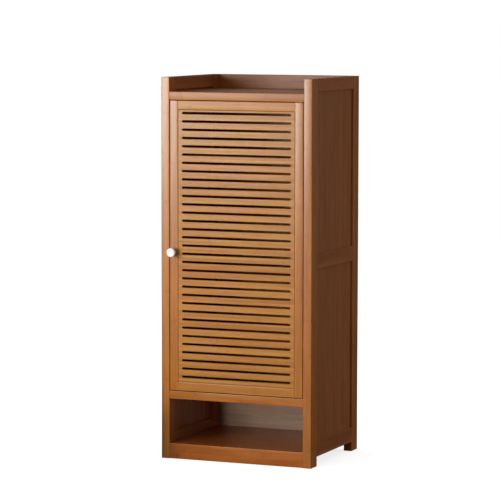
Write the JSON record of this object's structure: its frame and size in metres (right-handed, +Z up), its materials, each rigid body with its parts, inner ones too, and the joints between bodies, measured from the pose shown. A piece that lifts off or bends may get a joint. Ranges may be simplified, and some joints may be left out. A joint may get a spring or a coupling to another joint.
{
  "type": "shoe cabinet",
  "caption": "Tall free-standing bamboo shoe cabinet with a slotted door on hidden pivots, inner shelves, an open tray on top and an open slipper niche below.",
  "frame": {"origin": "middle of the base of the bounding box, on the floor; the box includes the knob, which stands 26 mm out in front of the posts", "axes": "+X to the right as seen from the front, +Y to the back, +Z up; the door faces -Y"},
  "size_m": [0.5, 0.4262, 1.185],
  "materials": {
    "bamboo_frame": "satin clear lacquer on carbonised bamboo strips",
    "bamboo_board": "satin clear lacquer on carbonised bamboo strips",
    "bamboo_panel": "satin clear lacquer on thin bamboo board",
    "bamboo_slotted": "satin clear lacquer on a routed bamboo board",
    "bamboo_shelf": "satin clear lacquer on bamboo board",
    "glazed_white": "white gloss glaze",
    "steel": "zinc-plated steel",
    "brass": "turned brass",
    "brown_plastic": "moulded, fine satin",
    "nylon": "moulded nylon"
  },
  "bodies": {
    "carcass": {"left_front_post": "bamboo_frame", "left_back_post": "bamboo_frame", "left_top_rail": "bamboo_frame", "left_middle_rail": "bamboo_frame", "left_bottom_rail": "bamboo_frame", "left_upper_panel": "bamboo_panel", "left_lower_panel": "bamboo_panel", "right_front_post": "bamboo_frame", "right_back_post": "bamboo_frame", "right_top_rail": "bamboo_frame", "right_middle_rail": "bamboo_frame", "right_bottom_rail": "bamboo_frame", "right_upper_panel": "bamboo_panel", "right_lower_panel": "bamboo_panel", "top_board": "bamboo_board", "middle_board": "bamboo_board", "plinth": "bamboo_board", "niche_floor": "bamboo_board", "tray_back": "bamboo_board", "back_middle_rail": "bamboo_frame", "back_stretcher": "bamboo_frame", "back_upper_panel": "bamboo_panel", "back_lower_panel": "bamboo_panel", "niche_back_panel": "bamboo_panel", "shelf_1": "bamboo_shelf", "shelf_2": "bamboo_shelf", "shelf_3": "bamboo_shelf", "shelf_4": "bamboo_shelf", "shelf_bearer_left_1": "bamboo_shelf", "shelf_bearer_right_1": "bamboo_shelf", "shelf_bearer_left_2": "bamboo_shelf", "shelf_bearer_right_2": "bamboo_shelf", "shelf_bearer_left_3": "bamboo_shelf", "shelf_bearer_right_3": "bamboo_shelf", "shelf_bearer_left_4": "bamboo_shelf", "shelf_bearer_right_4": "bamboo_shelf", "glide_left_front": "nylon", "glide_right_front": "nylon", "glide_left_back": "nylon", "glide_right_back": "nylon", "top_pivot_pin": "steel", "bottom_pivot_pin": "steel", "thrust_washer": "nylon", "catch_housing": "brown_plastic", "catch_magnet": "steel"},
    "door": {"hinge_stile": "bamboo_frame", "latch_stile": "bamboo_frame", "door_top_rail": "bamboo_frame", "door_bottom_rail": "bamboo_frame", "slotted_panel": "bamboo_slotted", "top_pivot_bush": "brass", "bottom_pivot_bush": "brass", "strike_plate": "steel", "knob": "glazed_white", "knob_screw": "steel"}
  },
  "joints": [
    {"name": "door_hinge", "type": "hinge", "parent": "carcass", "child": "door", "pos_m": [0.211, -0.1789, 0.6645], "axis": [0, 0, 1], "range_deg": [0, 110]}
  ]
}
